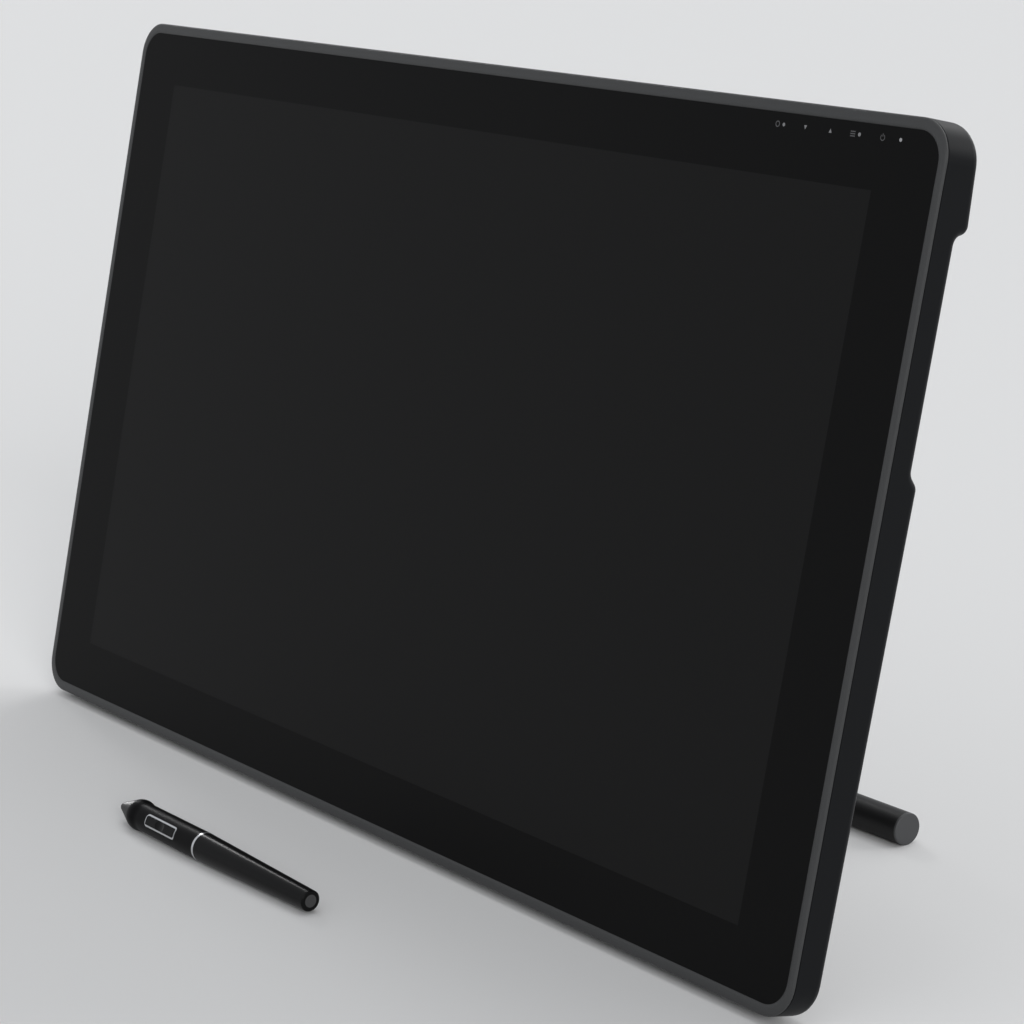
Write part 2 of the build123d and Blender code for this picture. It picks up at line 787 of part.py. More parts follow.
# Rear cover: first its outer form, made flat about the origin and then laid into the screen's plane
with BuildPart() as flat_cover:
    with BuildSketch(Plane.YZ):
        with BuildLine():
            Polyline(*cover_profile(0, 0), close=True)
        make_face()
        step_corners = [corner for corner in vertices() if abs(corner.X) < screw_row_y]
        fillet(step_corners, step_round)
    extrude(amount=half_width, both=True)
    with BuildSketch(Plane.XY):
        RectangleRounded(2 * half_width, 2 * half_height, case_corner)
    extrude(amount=-(ridge_depth + overrun), mode=Mode.INTERSECT)
    deep_edges = [edge for edge in flat_cover.edges() if edge.center().Z < -(band_depth - back_round)]
    back_edges = [
        edge
        for edge in deep_edges
        if abs(edge.center().X) > half_width - case_corner or abs(edge.center().Y) > half_height - case_corner
    ]
    fillet(back_edges, back_round)
cover_form = flat_cover.part.moved(screen.location)

# Then the hollow inside
with BuildPart() as cover_hollow:
    with BuildSketch(profile):
        with BuildLine():
            Polyline(*cover_profile(cover_wall, cover_back_wall), close=True)
        make_face()
    extrude(amount=half_width - cover_wall, both=True)
    with BuildSketch(screen.offset(-cover_front)):
        RectangleRounded(
            2 * (half_width - cover_wall), 2 * (half_height - cover_wall), case_corner - cover_wall
        )
    extrude(amount=-(ridge_depth + overrun), mode=Mode.INTERSECT)

recess_floor_front = plate_recess_depth - recess_wall
insert_front = plate_recess_depth - insert_setback - insert_length
bay_mid_x = bay_left + bay_width / 2
bay_mid_y = (bay_top + bay_bottom) / 2
with BuildPart() as rear_cover:
    add(cover_form)
    add(cover_hollow.part, mode=Mode.SUBTRACT)
    # Floor of the stand plate's recess, and bosses for the threaded inserts
    with BuildSketch(screen.offset(-recess_floor_front)):
        with Locations((0, -pattern_down_length)):
            Rectangle(stand_plate_width + 2 * recess_wall, stand_plate_height + 2 * recess_wall)
    extrude(amount=-(ridge_depth + overrun))
    with BuildSketch(screen.offset(-plate_back)):
        with Locations(*pattern_places):
            Circle(insert_boss_radius)
    extrude(amount=plate_back - plate_recess_depth)
    with BuildSketch(screen.offset(-plate_recess_depth)):
        with Locations((0, -pattern_down_length)):
            RectangleRounded(
                stand_plate_width + 2 * part_gap, stand_plate_height + 2 * part_gap, stand_plate_corner
            )
    extrude(amount=-overrun, mode=Mode.SUBTRACT)
    with BuildSketch(screen.offset(-plate_recess_depth)):
        with Locations(*pattern_places):
            Circle(insert_radius)
    extrude(amount=plate_recess_depth - insert_front, mode=Mode.SUBTRACT)
    # Posts for the case screws, with sunk seats for their heads
    with BuildSketch(screen.offset(-plate_front)):
        with Locations(*screw_places):
            Circle(cover_post_radius)
    extrude(amount=-(ridge_depth + overrun))
    with BuildSketch(screen.offset(-plate_front)):
        with Locations(*screw_places):
            Circle(cover_screw_hole)
    extrude(amount=-(ridge_depth + overrun), mode=Mode.SUBTRACT)
    with BuildSketch(screen.offset(-screw_seat_depth)):
        with Locations(*screw_places):
            Circle(counterbore_radius)
    extrude(amount=-(ridge_depth + overrun), mode=Mode.SUBTRACT)
    # Port bay with its walls, and cut-outs for the sockets
    with BuildSketch(screen.offset(-(bay_floor_depth - bay_floor_wall))):
        with Locations((bay_mid_x, bay_mid_y)):
            Rectangle(bay_width + 2 * bay_wall, bay_height + 2 * bay_wall)
    extrude(amount=-(ridge_depth + overrun))
    with BuildSketch(screen.offset(-bay_floor_depth)):
        with Locations((bay_mid_x, bay_mid_y)):
            Rectangle(bay_width, bay_height)
    extrude(amount=-(ridge_depth + overrun), mode=Mode.SUBTRACT)
    with BuildSketch(mouth.offset(-bay_top)):
        with Locations((power_socket_x, -socket_mid_depth)):
            Rectangle(power_socket_width + 2 * socket_gap, socket_height + 2 * socket_gap)
        with Locations((video_socket_x, -socket_mid_depth)):
            Rectangle(video_socket_width + 2 * socket_gap, socket_height + 2 * socket_gap)
        with Locations(*[(x, -socket_mid_depth) for x in usb_socket_x]):
            SlotOverall(usb_socket_width + 2 * socket_gap, usb_socket_height + 2 * socket_gap)
    extrude(amount=-(bay_wall + overrun), mode=Mode.SUBTRACT)
    # Vent slots
    with BuildSketch(screen.offset(-(band_depth - cover_back_wall))):
        with Locations((-vent_middle_x, vent_middle_y), (vent_middle_x, vent_middle_y)):
            with GridLocations(vent_pitch, 0, vent_count, 1):
                Rectangle(vent_width, vent_height)
    extrude(amount=-(ridge_depth + overrun), mode=Mode.SUBTRACT)
    # Seats of the rubber feet
    with BuildSketch(sole):
        with Locations((-foot_x, foot_mid_y), (foot_x, foot_mid_y)):
            Rectangle(foot_length + 2 * foot_seat_wall, foot_depth + 2 * foot_seat_wall)
    extrude(amount=foot_height + foot_seat_wall)
    with BuildSketch(sole.offset(-overrun)):
        with Locations((-foot_x, foot_mid_y), (foot_x, foot_mid_y)):
            Rectangle(foot_length, foot_depth)
    extrude(amount=foot_height + overrun, mode=Mode.SUBTRACT)
    add(cover_form, mode=Mode.INTERSECT)
rear_cover.part.label = "rear_cover"
export_step(rear_cover.part, "parts/rear_cover.step")

# Case screws: pan heads with a cross-shaped drive left to the surface finish
with BuildPart() as case_screws:
    with BuildSketch(screen.offset(-screw_seat_depth)):
        with Locations(*screw_places):
            Circle(screw_head_radius)
    extrude(amount=-screw_head_height)
    with BuildSketch(screen.offset(-screw_seat_depth)):
        with Locations(*screw_places):
            Circle(screw_radius)
    extrude(amount=screw_length)
case_screws.part.label = "case_screws"
export_step(case_screws.part, "parts/case_screws.step")

# Threaded inserts of the stand's screw pattern
with BuildPart() as thread_inserts:
    with BuildSketch(screen.offset(-insert_front)):
        with Locations(*pattern_places):
            Circle(insert_radius - fit / 2)
            Circle(insert_bore, mode=Mode.SUBTRACT)
    extrude(amount=-insert_length)
thread_inserts.part.label = "thread_inserts"
export_step(thread_inserts.part, "parts/thread_inserts.step")

# Stand plate: sheet with two pairs of folded ears, for the hinge and for the lever
lever_ear_x = lever_half_width + lever_ear_gap
with BuildPart() as stand_plate:
    with BuildSketch(screen.offset(-plate_recess_depth)):
        with Locations((0, -pattern_down_length)):
            RectangleRounded(stand_plate_width, stand_plate_height, stand_plate_corner)
    extrude(amount=-plate_sheet)
    for x in (ear_inner_x, -ear_inner_x - ear_thickness):
        with BuildSketch(profile.offset(x)):
            with Locations((-hinge_down_length, -hinge_depth)):
                Circle(ear_radius)
            with Locations((-hinge_down_length, -stand_plate_back + plate_sheet / 2)):
                Rectangle(ear_base, plate_sheet)
            make_hull()
        extrude(amount=ear_thickness)
    for x in (lever_ear_x, -lever_ear_x - lever_ear_thickness):
        with BuildSketch(profile.offset(x)):
            with Locations((-lever_pin_down_length, -lever_pin_depth)):
                Circle(lever_ear_radius)
            with Locations((-lever_pin_down_length, -stand_plate_back + plate_sheet / 2)):
                Rectangle(lever_ear_base, plate_sheet)
            make_hull()
        extrude(amount=lever_ear_thickness)
    with BuildSketch(profile):
        with Locations((-hinge_down_length, -hinge_depth)):
            Circle(pin_radius + running_clearance + bush_wall)
        with Locations((-lever_pin_down_length, -lever_pin_depth)):
            Circle(lever_pin_radius)
    extrude(amount=half_width, both=True, mode=Mode.SUBTRACT)
    with BuildSketch(screen.offset(-plate_recess_depth)):
        with Locations(*pattern_places):
            Circle(stand_hole_radius)
    extrude(amount=-plate_sheet, mode=Mode.SUBTRACT)
stand_plate.part.label = "stand_plate"
export_step(stand_plate.part, "parts/stand_plate.step")

# Stand screws: socket heads in a square pattern
with BuildPart() as stand_screws:
    with BuildSketch(screen.offset(-stand_plate_back)):
        with Locations(*pattern_places):
            Circle(stand_head_radius)
    extrude(amount=-stand_head_height)
    with BuildSketch(screen.offset(-stand_plate_back)):
        with Locations(*pattern_places):
            Circle(stand_screw_radius)
    extrude(amount=stand_screw_length)
    with BuildSketch(screen.offset(-(stand_plate_back + stand_head_height))):
        with Locations(*pattern_places):
            RegularPolygon(socket_drive_radius, 6)
    extrude(amount=socket_drive_depth, mode=Mode.SUBTRACT)
stand_screws.part.label = "stand_screws"
export_step(stand_screws.part, "parts/stand_screws.step")

# Hinge bushes, flanged on the side of the arms
with BuildPart() as hinge_bushes:
    for side in (-1, 1):
        bush_end = side * ear_inner_x
        flange_start = side * (ear_inner_x + ear_thickness)
        with BuildSketch(profile.offset(bush_end)):
            with Locations((-hinge_down_length, -hinge_depth)):
                Circle(pin_radius + running_clearance + bush_wall)
                Circle(pin_radius + running_clearance, mode=Mode.SUBTRACT)
        extrude(amount=side * ear_thickness)
        with BuildSketch(profile.offset(flange_start)):
            with Locations((-hinge_down_length, -hinge_depth)):
                Circle(bush_flange_radius)
                Circle(pin_radius + running_clearance, mode=Mode.SUBTRACT)
        extrude(amount=side * bush_flange_thickness)
hinge_bushes.part.label = "hinge_bushes"
export_step(hinge_bushes.part, "parts/hinge_bushes.step")

# Hinge pin with a round head, carried by the arms
with BuildPart() as hinge_pin:
    with BuildSketch(leg.offset(-arm_outer_x)):
        Circle(pin_radius)
    extrude(amount=2 * arm_outer_x + nut_thickness + pin_thread_reach)
    with BuildSketch(leg.offset(-arm_outer_x)):
        Circle(pin_head_radius)
    extrude(amount=-pin_head_thickness)
hinge_pin.part.label = "hinge_pin"
export_step(hinge_pin.part, "parts/hinge_pin.step")

# Hinge nut
with BuildPart() as hinge_nut:
    with BuildSketch(leg.offset(arm_outer_x)):
        RegularPolygon(nut_width / 2, 6, major_radius=False)
        Circle(pin_radius, mode=Mode.SUBTRACT)
    extrude(amount=nut_thickness)
hinge_nut.part.label = "hinge_nut"
export_step(hinge_nut.part, "parts/hinge_nut.step")

# Wrap springs: square wire coils round the hinge pin, just inside the ears
wrap_radius = pin_radius + wrap_clearance + wrap_wire / 2
print("least gap in a wrap spring", round(least_coil_gap(wrap_radius, wrap_pitch, wrap_turns, wrap_wire), 3))
with BuildPart() as wrap_springs:
    for side in (-1, 1):
        coil_frame = Plane(
            origin=hinge_point + Vector(side * wrap_start_x, 0, 0), x_dir=screen.z_dir, z_dir=(side, 0, 0)
        )
        coil = coil_path(coil_frame, wrap_radius, wrap_pitch, wrap_turns)
        with BuildSketch(Plane(origin=coil @ 0, x_dir=coil_frame.z_dir, z_dir=coil % 0)):
            Rectangle(wrap_wire, wrap_wire)
        sweep(path=coil)
wrap_springs.part.label = "wrap_springs"
export_step(wrap_springs.part, "parts/wrap_springs.step")

# Lever pin, held by the plate's inner ears
lever_point = screen.from_local_coords((0, -lever_pin_down_length, -lever_pin_depth))
lever_pin_half = lever_ear_x + lever_ear_thickness
with BuildPart() as lever_pin:
    with BuildSketch(profile):
        with Locations((-lever_pin_down_length, -lever_pin_depth)):
            Circle(lever_pin_radius)
    extrude(amount=lever_pin_half, both=True)
lever_pin.part.label = "lever_pin"
export_step(lever_pin.part, "parts/lever_pin.step")

# Release lever: folded sheet, a web with a window, two side ears on the pin and a curled end
web_front = lever_pin_depth + lever_web_lift
web_low = -lever_pin_down_length - lever_tail
web_high = -lever_pin_down_length + lever_reach
with BuildPart() as release_lever:
    with BuildSketch(profile.offset(-lever_half_width)):
        with BuildLine():
            FilletPolyline(
                (web_low, -web_front - lever_sheet / 2),
                (web_high, -web_front - lever_sheet / 2),
                (web_high + lever_curl, -web_front - lever_curl),
                radius=lever_sheet,
            )
        trace(line_width=lever_sheet)
    extrude(amount=2 * lever_half_width)
    for x in (-lever_half_width, lever_half_width - lever_sheet):
        with BuildSketch(profile.offset(x)):
            with Locations((-lever_pin_down_length, -lever_pin_depth)):
                Circle(lever_hub_radius)
            with Locations((-lever_pin_down_length, -web_front)):
                Rectangle(lever_ear_base, lever_sheet / 2)
            make_hull()
        extrude(amount=lever_sheet)
    with BuildSketch(profile):
        with Locations((-lever_pin_down_length, -lever_pin_depth)):
            Circle(lever_pin_radius + running_clearance)
    extrude(amount=half_width, both=True, mode=Mode.SUBTRACT)
    with BuildSketch(screen.offset(-web_front + overrun)):
        with Locations((0, web_high - lever_window_height)):
            RectangleRounded(lever_window_width, lever_window_height, lever_curl / 2)
    extrude(amount=-2 * overrun, mode=Mode.SUBTRACT)
release_lever.part.label = "release_lever"
export_step(release_lever.part, "parts/release_lever.step")

# Lever return spring on the lever pin
lever_coil_radius = lever_pin_radius + lever_spring_clearance + lever_spring_wire / 2
lever_spring_length = lever_spring_pitch * lever_spring_turns
print(
    "least gap in the lever spring",
    round(least_coil_gap(lever_coil_radius, lever_spring_pitch, lever_spring_turns, lever_spring_wire), 3),
)
with BuildPart() as lever_spring:
    coil_frame = Plane(
        origin=lever_point - Vector(lever_spring_length / 2, 0, 0), x_dir=screen.z_dir, z_dir=(1, 0, 0)
    )
    coil = coil_path(coil_frame, lever_coil_radius, lever_spring_pitch, lever_spring_turns)
    with BuildSketch(Plane(origin=coil @ 0, x_dir=coil_frame.z_dir, z_dir=coil % 0)):
        Rectangle(lever_spring_wire, lever_spring_wire)
    sweep(path=coil)
lever_spring.part.label = "lever_spring"
export_step(lever_spring.part, "parts/lever_spring.step")

# Stand arms: flat bars from the hinge to a saddle welded to the foot tube
spacer_reach = leg_length * spacer_share


def stand_arm(start_x):
    """One arm, its inner or left face at start_x."""
    with BuildPart() as arm:
        with BuildSketch(leg.offset(start_x)):
            Circle(arm_hub_radius)
            with Locations((leg_length - arm_end_setback, 0)):
                Circle(arm_end_radius)
            make_hull()
            Circle(pin_radius, mode=Mode.SUBTRACT)
            with Locations((spacer_reach, 0)):
                Circle(spacer_radius, mode=Mode.SUBTRACT)
            with Locations((leg_length, 0)):
                Circle(foot_tube_radius, mode=Mode.SUBTRACT)
        extrude(amount=arm_thickness)
    return arm


stand_arm_left = stand_arm(-arm_outer_x)
stand_arm_left.part.label = "stand_arm_left"
export_step(stand_arm_left.part, "parts/stand_arm_left.step")
stand_arm_right = stand_arm(arm_inner_x)
stand_arm_right.part.label = "stand_arm_right"
export_step(stand_arm_right.part, "parts/stand_arm_right.step")

# Spacer rod riveted between the arms
with BuildPart() as spacer_rod:
    with BuildSketch(leg):
        with Locations((spacer_reach, 0)):
            Circle(spacer_radius)
    extrude(amount=arm_outer_x, both=True)
spacer_rod.part.label = "spacer_rod"
export_step(spacer_rod.part, "parts/spacer_rod.step")

# Foot tube
foot_tube_half = foot_bar_length / 2 - foot_cap_thickness
with BuildPart() as foot_tube:
    with BuildSketch(leg):
        with Locations((leg_length, 0)):
            Circle(foot_tube_radius)
            Circle(foot_tube_radius - foot_tube_wall, mode=Mode.SUBTRACT)
    extrude(amount=foot_tube_half, both=True)
foot_tube.part.label = "foot_tube"
export_step(foot_tube.part, "parts/foot_tube.step")

# Rubber sleeves on the foot tube, outside the arms
sleeve_start = arm_outer_x + sleeve_gap
with BuildPart() as foot_sleeves:
    for side in (-1, 1):
        with BuildSketch(leg.offset(side * sleeve_start)):
            with Locations((leg_length, 0)):
                Circle(foot_bar_radius)
                Circle(foot_tube_radius, mode=Mode.SUBTRACT)
        extrude(amount=side * (foot_tube_half - sleeve_start))
foot_sleeves.part.label = "foot_sleeves"
export_step(foot_sleeves.part, "parts/foot_sleeves.step")

# End caps of the foot tube
with BuildPart() as foot_end_caps:
    for side in (-1, 1):
        with BuildSketch(leg.offset(side * foot_tube_half)):
            with Locations((leg_length, 0)):
                Circle(foot_bar_radius)
        extrude(amount=side * foot_cap_thickness)
        with BuildSketch(leg.offset(side * foot_tube_half)):
            with Locations((leg_length, 0)):
                Circle(foot_tube_radius - foot_tube_wall)
        extrude(amount=-side * foot_cap_plug)
    outer_rims = foot_end_caps.edges().filter_by(GeomType.CIRCLE).group_by(Axis.X)
    fillet(outer_rims[0] + outer_rims[-1], foot_cap_round)
foot_end_caps.part.label = "foot_end_caps"
export_step(foot_end_caps.part, "parts/foot_end_caps.step")

# Pen nib, from its rounded point to the socket in the pressure sensor
with BuildPart() as pen_nib:
    with BuildSketch(pen):
        with BuildLine():
            Polyline(
                (0, 0),
                (0, nib_tip_radius / 2),
                (nib_tip_radius / 2, nib_tip_radius),
                (nib_cone, nib_radius),
                (nib_length, nib_radius),
                (nib_length, 0),
                close=True,
            )
        make_face()
    revolve(axis=pen_axis)
pen_nib.part.label = "pen_nib"
export_step(pen_nib.part, "parts/pen_nib.step")


# The nose's cone touches the arc over its widest place, and a hollow arc leads on to the grip
mouth_to_centre = Vector(nose_widest - nose_start, nose_radius - nose_round - nose_mouth_radius)
cone_angle = atan2(mouth_to_centre.Y, mouth_to_centre.X) + asin(nose_round / mouth_to_centre.length)
neck_turn = 2 * atan2(nose_radius - grip_radius, grip_start - nose_widest)
neck_round = (grip_start - nose_widest) / sin(neck_turn) - nose_round


def grip_form(proud):
    """Solid form of the grip, set out by proud, also used to trim what lies in its slot."""
    with BuildPart() as form:
        with BuildSketch(pen):
            with BuildLine():
                widest = (nose_widest, nose_radius + proud)
                front = JernArc(widest, (-1, 0), nose_round, degrees(cone_angle))
                rear = JernArc(widest, (1, 0), nose_round, -degrees(neck_turn))
                hollow = JernArc(rear @ 1, rear % 1, neck_round, degrees(neck_turn))
                Line(front @ 1, (nose_start, nose_mouth_radius + proud))
                Polyline(
                    hollow @ 1,
                    (ring_start, ring_radius - ring_proud + proud),
                    (ring_start, 0),
                    (nose_start, 0),
                    (nose_start, nose_mouth_radius + proud),
                )
            make_face()
        revolve(axis=pen_axis)
    return form.part


def slot_face(inset, height):
    """Slot shape on the pen's side, drawn in by inset, at a height above the pen's axis."""
    with BuildSketch(pen.offset(height)) as slot:
        with Locations((slot_start + slot_length / 2, 0)):
            RectangleRounded(slot_length - 2 * inset, slot_width - 2 * inset, slot_corner - inset)
    return slot.sketch


# Pen grip: flared nose, slot for the rocker, spigot for the barrel
with BuildPart() as pen_grip:
    add(grip_form(0))
    with BuildSketch(pen):
        with BuildLine():
            Polyline(
                (ring_start, 0),
                (ring_start, spigot_radius),
                (ring_start + ring_width + spigot_length, spigot_radius),
                (ring_start + ring_width + spigot_length, 0),
                close=True,
            )
        make_face()
    revolve(axis=pen_axis)
    with BuildSketch(pen):
        with BuildLine():
            Polyline(
                (nose_start - overrun, 0),
                (nose_start - overrun, nib_bore),
                (shoulder, nib_bore),
                (shoulder, grip_bore),
                (ring_start, grip_bore),
                (ring_start, spigot_bore),
                (ring_start + ring_width + spigot_length + overrun, spigot_bore),
                (ring_start + ring_width + spigot_length + overrun, 0),
                close=True,
            )
        make_face()
    revolve(axis=pen_axis, mode=Mode.SUBTRACT)
    extrude(slot_face(0, bezel_seat), amount=overrun, mode=Mode.SUBTRACT)
    extrude(slot_face(bezel_line, 0), amount=grip_radius + overrun, mode=Mode.SUBTRACT)
    slot_middle = slot_start + slot_length / 2
    trunnion_half = slot_width / 2 - bezel_line + trunnion_reach
    trunnion_plane = Plane(
        origin=pen.from_local_coords((slot_middle, 0, rocker_axis_height)), x_dir=pen.x_dir, z_dir=pen.y_dir
    )
    with BuildSketch(trunnion_plane):
        Circle(trunnion_radius + running_clearance)
    extrude(amount=trunnion_half, both=True, mode=Mode.SUBTRACT)
pen_grip.part.label = "pen_grip"
export_step(pen_grip.part, "parts/pen_grip.step")

# Bright outline round the slot
with BuildPart() as pen_bezel:
    extrude(slot_face(fit / 2, bezel_seat), amount=overrun)
    extrude(slot_face(bezel_line, bezel_seat), amount=overrun, mode=Mode.SUBTRACT)
    add(grip_form(bezel_proud), mode=Mode.INTERSECT)
pen_bezel.part.label = "pen_bezel"
export_step(pen_bezel.part, "parts/pen_bezel.step")

# Rocker: two-way button on trunnions, dished in the middle
with BuildPart() as pen_rocker:
    extrude(slot_face(bezel_line + rocker_gap, rocker_underside), amount=grip_radius)
    add(grip_form(rocker_proud), mode=Mode.INTERSECT)
    dish_height = grip_radius + rocker_proud + rocker_dip_radius - rocker_dip_depth
    with BuildSketch(trunnion_plane):
        with Locations((0, rocker_axis_height - dish_height)):
            Circle(rocker_dip_radius)
    extrude(amount=slot_width, both=True, mode=Mode.SUBTRACT)
    with BuildSketch(trunnion_plane):
        Circle(trunnion_radius)
    extrude(amount=trunnion_half - running_clearance, both=True)
pen_rocker.part.label = "pen_rocker"
export_step(pen_rocker.part, "parts/pen_rocker.step")

# Ferrite core with a bore for the nib
with BuildPart() as pen_ferrite:
    with BuildSketch(pen):
        with BuildLine():
            Polyline(
                (shoulder, nib_bore),
                (shoulder, ferrite_radius),
                (shoulder + ferrite_length, ferrite_radius),
                (shoulder + ferrite_length, nib_bore),
                close=True,
            )
        make_face()
    revolve(axis=pen_axis)
pen_ferrite.part.label = "pen_ferrite"
export_step(pen_ferrite.part, "parts/pen_ferrite.step")

# Coil wound on the ferrite core
with BuildPart() as pen_coil:
    with BuildSketch(pen):
        with BuildLine():
            Polyline(
                (shoulder + coil_margin, ferrite_radius),
                (shoulder + coil_margin, coil_radius),
                (shoulder + ferrite_length - coil_margin, coil_radius),
                (shoulder + ferrite_length - coil_margin, ferrite_radius),
                close=True,
            )
        make_face()
    revolve(axis=pen_axis)
pen_coil.part.label = "pen_coil"
export_step(pen_coil.part, "parts/pen_coil.step")

# Pressure sensor behind the nib
with BuildPart() as pen_pressure_sensor:
    with BuildSketch(pen):
        with BuildLine():
            Polyline(
                (sensor_start, nib_bore),
                (sensor_start, sensor_radius),
                (sensor_start + sensor_length, sensor_radius),
                (sensor_start + sensor_length, 0),
                (sensor_start + nib_socket, 0),
                (sensor_start + nib_socket, nib_bore),
                close=True,
            )
        make_face()
    revolve(axis=pen_axis)
pen_pressure_sensor.part.label = "pen_pressure_sensor"
export_step(pen_pressure_sensor.part, "parts/pen_pressure_sensor.step")

# Pen circuit board with the two switches under the rocker
pen_board_width = 2 * sqrt(grip_bore**2 - pen_board_height**2) - 2 * fit
with BuildPart() as pen_board:
    with BuildSketch(pen.offset(pen_board_height)):
        with Locations((pen_board_start + pen_board_length / 2, 0)):
            Rectangle(pen_board_length, pen_board_width)
    extrude(amount=-pen_board_thickness)
    with BuildSketch(pen.offset(pen_board_height)):
        with Locations((slot_middle - switch_spacing / 2, 0), (slot_middle + switch_spacing / 2, 0)):
            Rectangle(switch_size, switch_size)
    extrude(amount=switch_height)
pen_board.part.label = "pen_board"
export_step(pen_board.part, "parts/pen_board.step")

# Bright ring between grip and barrel
with BuildPart() as pen_ring:
    with BuildSketch(pen):
        with BuildLine():
            Polyline(
                (ring_start, spigot_radius),
                (ring_start, ring_radius),
                (ring_start + ring_width, ring_radius),
                (ring_start + ring_width, spigot_radius),
                close=True,
            )
        make_face()
    revolve(axis=pen_axis)
pen_ring.part.label = "pen_ring"
export_step(pen_ring.part, "parts/pen_ring.step")

# Pen barrel: hollow cone
barrel_start = ring_start + ring_width
with BuildPart() as pen_barrel:
    with BuildSketch(pen):
        with BuildLine():
            Polyline(
                (barrel_start, spigot_radius),
                (barrel_start, ring_radius - ring_proud),
                (barrel_end, end_radius),
                (barrel_end, barrel_bore),
                (barrel_start + spigot_length, barrel_bore),
                (barrel_start + spigot_length, spigot_radius),
                close=True,
            )
        make_face()
    revolve(axis=pen_axis)
pen_barrel.part.label = "pen_barrel"
export_step(pen_barrel.part, "parts/pen_barrel.step")

# End cap of the pen
with BuildPart() as pen_end_cap:
    with BuildSketch(pen):
        with BuildLine():
            Polyline(
                (barrel_end - cap_plug, 0),
                (barrel_end - cap_plug, barrel_bore),
                (barrel_end, barrel_bore),
                (barrel_end, end_radius),
                (pen_length - cap_round, cap_end_radius),
                (pen_length, cap_end_radius - cap_round),
                (pen_length, 0),
                close=True,
            )
        make_face()
    revolve(axis=pen_axis)
pen_end_cap.part.label = "pen_end_cap"
export_step(pen_end_cap.part, "parts/pen_end_cap.step")

fold_angle = degrees(leg_slope) + tilt
print("hinge at", hinge_point, "fold", round(fold_angle, 2), "leg slope", round(degrees(leg_slope), 2))
print("lever pin at", lever_point, "screen origin", screen.origin)
print("pen tip", pen_tip, "along", pen.x_dir, "rocker pivot", trunnion_plane.origin, "axis", pen.y_dir)
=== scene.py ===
import json
from math import cos, pi, radians, sin

import bpy
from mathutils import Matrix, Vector


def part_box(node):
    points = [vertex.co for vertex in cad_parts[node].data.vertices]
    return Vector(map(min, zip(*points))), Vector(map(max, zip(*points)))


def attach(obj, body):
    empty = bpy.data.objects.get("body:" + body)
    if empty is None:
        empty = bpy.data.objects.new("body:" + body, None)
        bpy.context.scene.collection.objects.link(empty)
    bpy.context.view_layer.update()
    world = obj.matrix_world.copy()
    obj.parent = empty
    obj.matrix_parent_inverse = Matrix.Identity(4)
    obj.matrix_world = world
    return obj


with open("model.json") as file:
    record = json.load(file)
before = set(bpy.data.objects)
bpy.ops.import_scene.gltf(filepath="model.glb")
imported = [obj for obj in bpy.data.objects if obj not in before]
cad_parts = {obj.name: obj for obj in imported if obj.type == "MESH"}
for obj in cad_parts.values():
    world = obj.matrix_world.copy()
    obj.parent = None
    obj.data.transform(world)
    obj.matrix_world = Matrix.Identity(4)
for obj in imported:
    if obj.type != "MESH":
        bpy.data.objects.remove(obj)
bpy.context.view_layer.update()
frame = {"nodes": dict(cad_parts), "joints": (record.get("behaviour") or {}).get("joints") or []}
NODES = frame["nodes"]
JOINT_AXES = {joint["name"]: Vector(joint["axis"]) for joint in frame["joints"]}

MM = 0.001
QUARTER_TURN = 90
FULL_TURN = 360

# The screen's own frame, in millimetres: x right, y up the screen, z out of its front
TILT = radians(78.1)
GLASS_THICKNESS = 1.6
SCREEN_UP = Vector((0, cos(TILT), sin(TILT)))
SCREEN_OUT = Vector((0, -sin(TILT), cos(TILT)))
GLASS_LOW, GLASS_HIGH = (Vector(corner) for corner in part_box("front_glass"))
SCREEN_ORIGIN = (GLASS_LOW + GLASS_HIGH) / 2 + SCREEN_OUT * GLASS_THICKNESS / 2 * MM
ACTIVE_WIDTH = 526.85
ACTIVE_HEIGHT = 296.35

# Touch symbols on the glass, in the screen's frame: row, places along it, sizes, angles in degrees
KEY_ROW_Y = 168.9
SOURCE_X = 203.2
SOURCE_DOT_X = 206.9
DOWN_X = 219.8
UP_X = 234.6
MENU_X = 247.6
MENU_DOT_X = 251.4
POWER_X = 264.6
STATUS_X = 274.7
RING_RADIUS = 1.3
SOURCE_HOLE = 0.85
SOURCE_DOT = 0.75
ARROW_SIZE = 1.7
MENU_LINE_WIDTH = 2.8
MENU_LINE_HEIGHT = 0.45
MENU_LINE_PITCH = 0.9
MENU_DOT = 0.8
POWER_HOLE = 0.95
POWER_START = 120
POWER_END = 420
POWER_STROKE_WIDTH = 0.4
POWER_STROKE_HEIGHT = 1.2
POWER_STROKE_RISE = 1.0
STATUS_DOT = 0.75
INK_HEIGHT = 0.03
RING_STEPS = 32
DISC_STEPS = 24

# Case screws, in the screen's frame: places of the heads in its right half, and the size of the
# cross of painted shade that stands for each one's drive recess
SCREW_PLACES = (
    (110.0, 171.2),
    (272.0, 171.2),
    (110.0, -171.2),
    (272.0, -171.2),
    (293.5, 110.0),
    (293.5, -110.0),
)
SCREW_HEAD_DEPTH = 12.0
DRIVE_LENGTH = 3.2
DRIVE_WIDTH = 0.8

# The pen, whose nib is pressed in towards its end, and the light disc in its end face
PEN_ALONG = JOINT_AXES["nib_press"]
PEN_END_LOW, PEN_END_HIGH = (Vector(corner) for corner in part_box("pen_end_cap"))
PEN_END_MIDDLE = (PEN_END_LOW + PEN_END_HIGH) / 2
PEN_DISC_RADIUS = 2.9
PEN_DISC_COLOR = (0.053, 0.053, 0.054)
END_FACE_COSINE = 0.6

# The photograph's camera, in metres and degrees, its place along Y given from the screen's middle
CAMERA_X = 1.16307
CAMERA_Z = 0.48235
CAMERA_BEFORE_SCREEN = 0.81253
CAMERA_PLACE = (CAMERA_X, SCREEN_ORIGIN.y - CAMERA_BEFORE_SCREEN, CAMERA_Z)
CAMERA_PITCH = 14.828
CAMERA_HEADING = 53.357
CAMERA_REACH = 50.0

